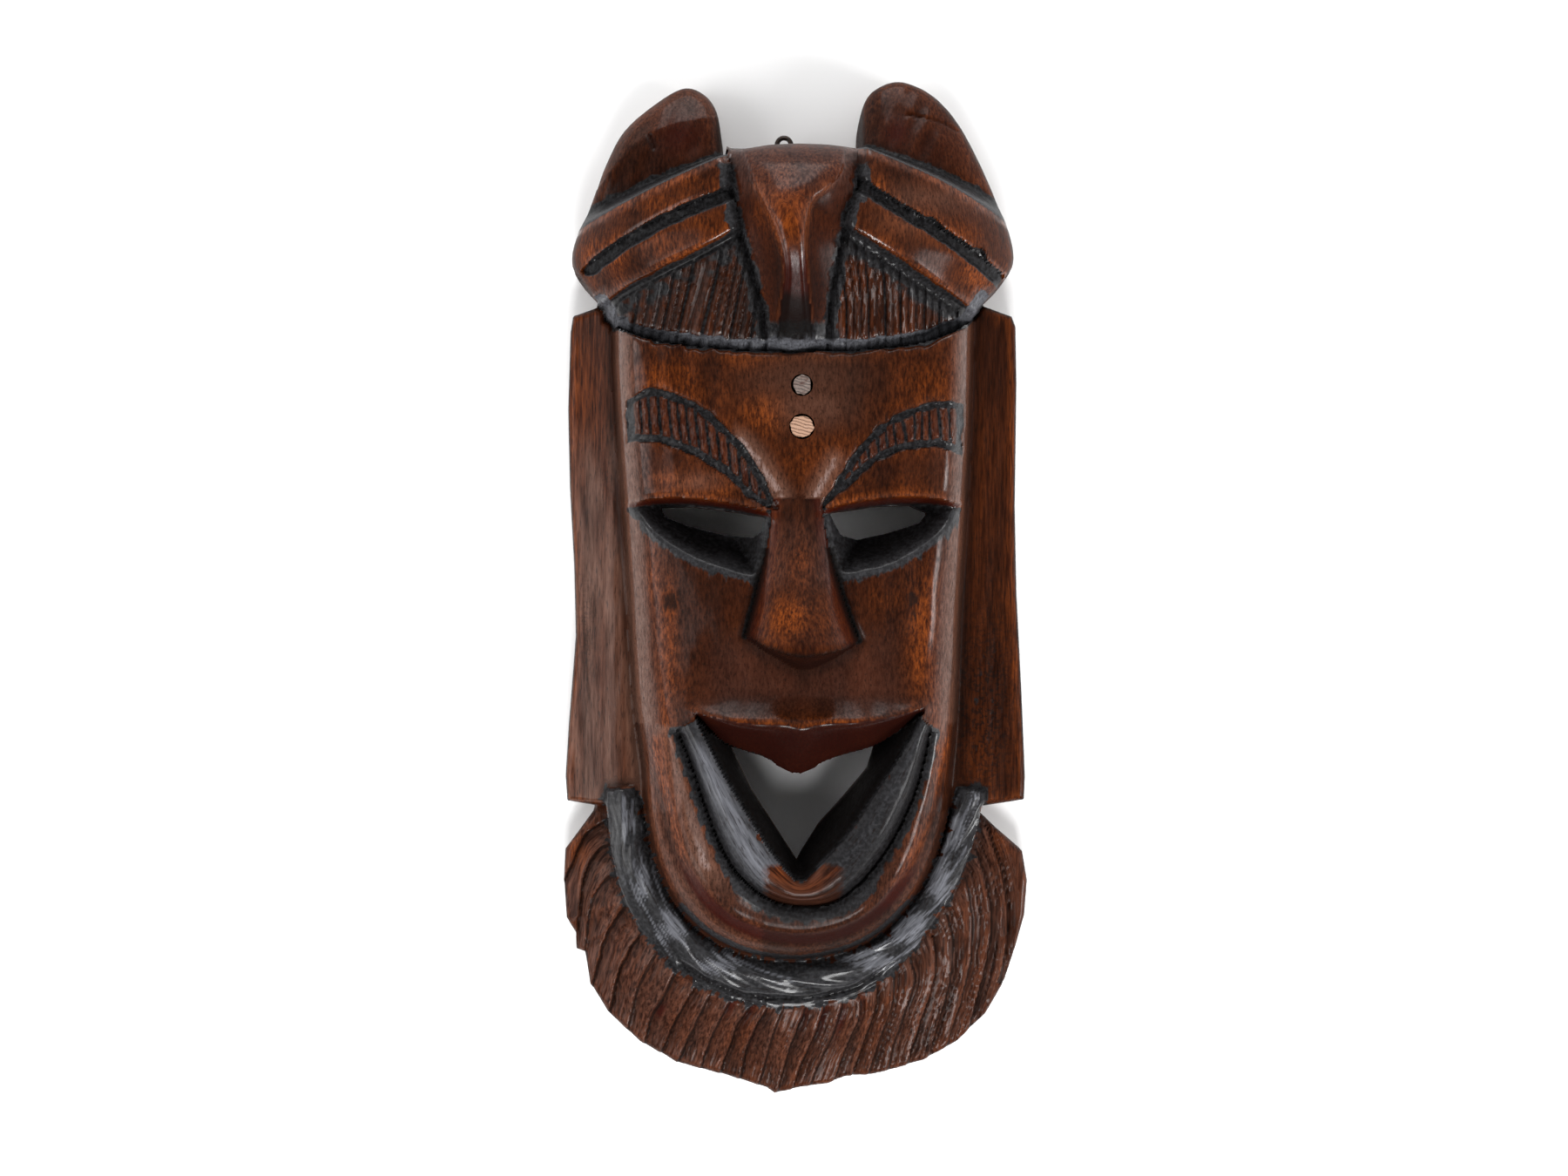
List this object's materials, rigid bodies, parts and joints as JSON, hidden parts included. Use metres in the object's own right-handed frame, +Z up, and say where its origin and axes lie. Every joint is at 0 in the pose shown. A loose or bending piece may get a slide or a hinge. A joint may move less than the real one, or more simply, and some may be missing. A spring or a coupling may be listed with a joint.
{
  "type": "carved wooden face mask",
  "caption": "Carved, dark-stained wooden face mask with a horned cap, side boards, open mouth and stranded beard, hollow behind, with a wire hanging eye in its crown.",
  "frame": {"origin": "under the middle of the mask's box, on the surface that its back lies on", "axes": "+Z up out of the face, +Y towards the horns, +X to the viewer's right"},
  "size_m": [0.1402, 0.3059, 0.0624],
  "materials": {
    "stained_wood": "dark reddish-brown stain, rubbed through on the ridges, satin",
    "plug_wood": "bare pale wood, sawn end grain",
    "dark_wire": "darkened steel wire, dull"
  },
  "bodies": {
    "root": {"mask_body": "stained_wood", "forehead_plug_upper": "plug_wood", "forehead_plug_lower": "plug_wood", "hanging_eye": "dark_wire"}
  },
  "joints": []
}
